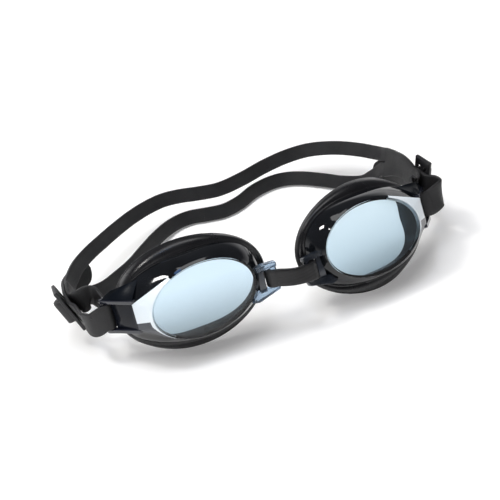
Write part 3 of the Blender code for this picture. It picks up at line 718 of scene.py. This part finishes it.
def straps():
    meshes, ends = {}, []
    for side in ("right", "left"):
        meshes[side] = bmesh.new()
        ends.append(strap_end(CUP[side], meshes[side]))
    for which, route in (("upper", UPPER), ("lower", LOWER)):
        path, wide = band_path(which, route, ends)
        for side, first in (("right", True), ("left", False)):
            p, w = half(path, wide, first)
            strip(meshes[side], p, w, BAND_W, STRAP_T, 0.35)
    for side, bm in meshes.items():
        ob = finish_mesh(side + "_strap", bm, [M_STRAP], 40)
        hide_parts(side + "_strap_end", *(("upper_band", "lower_band") if side == "right" else ()))
        s = SIDE[side]
        start = place((-67.0, 34.0, 14.0)) if side == "right" else place((66.5, 44.0, 15.0))
        place((-2.0 + s * 4.0, 67.0, 6.0))
        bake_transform(ob)


def fold(c):
    side = c.side
    t, w, out = buckle_frame(side)
    base = LAYER + STRAP_T / 2 + GAP
    centre = BUCKLE_AT[side] + out * (base + BUCKLE_T / 2)
    lift = BUCKLE_T / 2 + GAP + 1.1
    arch = [(-2.0, -BUCKLE_T / 2 + 0.1), (-1.95, 0.35), (-1.1, lift), (0.0, lift + 0.1), (1.1, lift), (1.95, 0.35),
            (2.0, -BUCKLE_T / 2 + 0.1)]
    path = catmull([centre + t * a + out * b for a, b in arch], 8)
    last = len(path) - 1
    thick = [1.0 + 1.2 * min(max((min(k, last - k) * 3 / 8 - 2) / 5, 0), 1) for k in range(last + 1)]
    bm = bmesh.new()
    strip(bm, path, [w] * len(path), LOOP_W - 0.2, thick, 0.4)
    ob = finish_mesh(side + "_fold", bm, [M_STRAP], 50)
    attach(ob, side + "_buckle_body")
    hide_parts(side + "_strap_fold")


# ---------------------------------------------------------------- nose bridge
def bridge():
    cr, cl = CUP["right"], CUP["left"]
    mid_v = (NOSE_TOP + NOSE_LOW) / 2
    r = NOSE_R + GAP + BRIDGE_T / 2

    def hook(c):
        p = c.at(NOSE_U, mid_v, NOSE_W)
        return [p + c.u * (r * cos(a)) + c.n * (r * sin(a)) for a in (radians(-75 + 165 * k / 8) for k in range(9))]

    right, left = hook(cr), hook(cl)[::-1]
    span = (right[-1] + left[0]) / 2 + (cr.n + cl.n).normalized() * 0.9 - Vector((0, 0, 0.5))
    route = right + [right[-1].lerp(span, 0.5) + cr.n * 0.35, span, span.lerp(left[0], 0.5) + cl.n * 0.35] + left
    path = catmull(route, 6)
    n = len(path) - 1
    wide, thick, width = [], [], []
    for i in range(n + 1):
        f = i / n
        k = min(max((f - 0.4) / 0.2, 0), 1)
        wide.append(cr.v.lerp(cl.v, k * k * (3 - 2 * k)).normalized())
        end = min(f, 1 - f) * n / 3
        thick.append(BRIDGE_T + (0.2 * (1 - end / 3) if end < 3 else 0.0))
        width.append(BRIDGE_H - 0.25 * max(0.0, 1 - abs(f - 0.5) / 0.2))
    bm = bmesh.new()
    strip(bm, path, wide, width, thick, 0.5)
    ob = finish_mesh("bridge_strip", bm, [M_BRIDGE], 50)
    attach(ob, ROOT)
    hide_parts("nose_bridge")


for key in ("right", "left"):
    lens_cup(CUP[key])
    lugs(CUP[key])
    gasket(CUP[key])
    fold(CUP[key])
straps()
bridge()
for key in ("right", "left"):
    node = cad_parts[key + "_buckle"]
    node.data.materials.clear()
    node.data.materials.append(M_BUCKLE)

# ---------------------------------------------------------------- table and light
def table_top():
    bm = bmesh.new()
    bmesh.ops.create_grid(bm, x_segments=2, y_segments=2, size=3.0)
    me = bpy.data.meshes.new("table_top")
    bm.to_mesh(me)
    bm.free()
    m, nodes, links, b = nodes_of("table_pale")
    co = nodes.new("ShaderNodeTexCoord")
    noise = nodes.new("ShaderNodeTexNoise")
    noise.inputs["Scale"].default_value = 3.0
    ramp = nodes.new("ShaderNodeValToRGB")
    ramp.color_ramp.elements[0].color = (0.90, 0.895, 0.885, 1.0)
    ramp.color_ramp.elements[1].color = (0.92, 0.915, 0.905, 1.0)
    links.new(co.outputs["Object"], noise.inputs["Vector"])
    links.new(noise.outputs["Fac"], ramp.inputs["Fac"])
    links.new(ramp.outputs["Color"], b.inputs["Base Color"])
    b.inputs["Roughness"].default_value = 0.85
    b.inputs["Specular IOR Level"].default_value = 0.15
    b.inputs["Emission Color"].default_value = (1.0, 0.99, 0.98, 1.0)
    b.inputs["Emission Strength"].default_value = 0.15
    me.materials.append(m)
    ob = bpy.data.objects.new("table_top", me)
    ob.location = (0.0, 0.0, -0.0002)
    bpy.context.scene.collection.objects.link(ob)


def softbox(name, at, aim, size, power, tint=(1.0, 1.0, 1.0), glossy=True):
    d = bpy.data.lights.new(name, 'AREA')
    d.shape = 'RECTANGLE'
    d.size, d.size_y = size
    d.energy = power
    d.color = tint
    ob = bpy.data.objects.new(name, d)
    ob.visible_glossy = glossy
    ob.location = at
    ob.rotation_mode = 'QUATERNION'
    ob.rotation_quaternion = (Vector(aim) - Vector(at)).to_track_quat('-Z', 'Y')
    bpy.context.scene.collection.objects.link(ob)
    return ob


table_top()
scene = bpy.context.scene
scene.view_settings.view_transform = 'Standard'
scene.view_settings.look = 'None'
def studio():
    """Dim room with a pale backdrop low down all round."""
    w = bpy.data.worlds.new("studio")
    w.use_nodes = True
    nodes, links = w.node_tree.nodes, w.node_tree.links
    co = nodes.new("ShaderNodeTexCoord")
    part = nodes.new("ShaderNodeSeparateXYZ")
    ramp = nodes.new("ShaderNodeValToRGB")
    ramp.color_ramp.elements[0].position = 0.12
    ramp.color_ramp.elements[0].color = (0.95, 0.95, 0.97, 1.0)
    ramp.color_ramp.elements[1].position = 0.34
    ramp.color_ramp.elements[1].color = (0.12, 0.12, 0.13, 1.0)
    links.new(co.outputs["Generated"], part.inputs["Vector"])
    links.new(part.outputs["Z"], ramp.inputs["Fac"])
    links.new(ramp.outputs["Color"], nodes["Background"].inputs["Color"])
    nodes["Background"].inputs["Strength"].default_value = 1.0
    scene.world = w


studio()
softbox("key", (-0.56, 0.36, 1.0), (0, 0, 0.02), (0.15, 0.18), 3.4, (1.0, 0.985, 0.96))
softbox("soft_top", (-0.42, 0.2, 0.95), (0, 0, 0), (0.9, 0.9), 8.8, (1.0, 1.0, 1.0), glossy=False)
softbox("overhead", (0.1, 0.3, 1.15), (0, 0, 0), (0.7, 0.5), 3.0)
softbox("blue_gleam", (-0.19, 0.14, 1.1), (0, 0, 0.02), (0.2, 0.12), 0.35, (0.22, 0.46, 1.0))
softbox("front_fill", (-0.7, -1.1, 0.6), (0, 0, 0.02), (0.9, 0.5), 2.8)

# ---------------------------------------------------------------- camera
AZ, EL, DIST = radians(-28.98), radians(40.52), 675.86
TARGET = Vector((-16.47, 0.0, 37.57))
back = Vector((sin(AZ) * cos(EL), -cos(AZ) * cos(EL), sin(EL)))
cam = bpy.data.cameras.new("camera")
cam.lens = 142.38
cam.sensor_width = 36.0
cam.clip_start, cam.clip_end = 0.01, 20.0
eye = bpy.data.objects.new("camera", cam)
eye.location = place(TARGET + back * DIST)
eye.rotation_mode = 'QUATERNION'
eye.rotation_quaternion = (-back).to_track_quat('-Z', 'Y')
scene.collection.objects.link(eye)
scene.camera = eye

bpy.context.view_layer.update()
